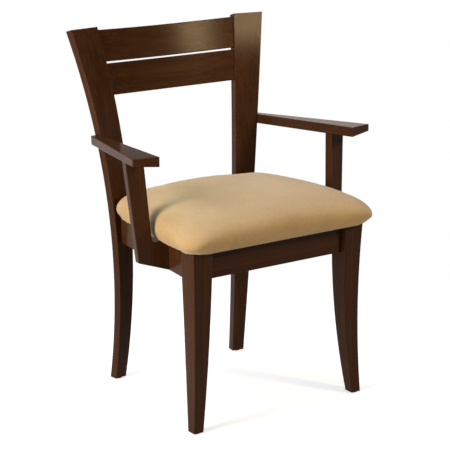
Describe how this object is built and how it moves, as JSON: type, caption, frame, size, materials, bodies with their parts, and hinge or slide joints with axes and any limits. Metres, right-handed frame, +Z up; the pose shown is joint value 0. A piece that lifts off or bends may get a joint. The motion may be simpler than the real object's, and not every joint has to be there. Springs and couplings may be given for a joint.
{
  "type": "dining_armchair",
  "caption": "Dining armchair in dark stained hardwood with a tan upholstered seat, flared back posts, bowed slats, flat arms on splayed brackets and sabre front legs.",
  "frame": {"origin": "on the floor, under the middle of the chair's bounding box", "axes": "+Z up, the chair faces -Y, +X to the right of someone who faces the chair"},
  "size_m": [0.667, 0.5176, 0.864],
  "materials": {
    "stained_wood": "satin",
    "plain_wood": "matte",
    "seat_fabric": "matte",
    "foam": "matte",
    "dust_cloth": "matte",
    "screw_steel": "satin",
    "glide_plastic": "matte"
  },
  "bodies": {
    "root": {"arm_dowels": "plain_wood", "arm_left": "stained_wood", "arm_right": "stained_wood", "arm_support_left": "stained_wood", "arm_support_right": "stained_wood", "arm_support_screws": "screw_steel", "corner_block_front_left": "plain_wood", "corner_block_front_right": "plain_wood", "corner_block_rear_left": "plain_wood", "corner_block_rear_right": "plain_wood", "corner_block_screws": "screw_steel", "crest_rail": "stained_wood", "foot_glides": "glide_plastic", "front_leg_left": "stained_wood", "front_leg_right": "stained_wood", "front_seat_rail": "stained_wood", "lower_back_slat": "stained_wood", "rail_dowels": "plain_wood", "rear_leg_left": "stained_wood", "rear_leg_right": "stained_wood", "rear_seat_rail": "stained_wood", "seat_cover": "seat_fabric", "seat_dust_cover": "dust_cloth", "seat_foam": "foam", "seat_panel": "plain_wood", "seat_screws": "screw_steel", "side_seat_rail_left": "stained_wood", "side_seat_rail_right": "stained_wood"}
  },
  "joints": []
}
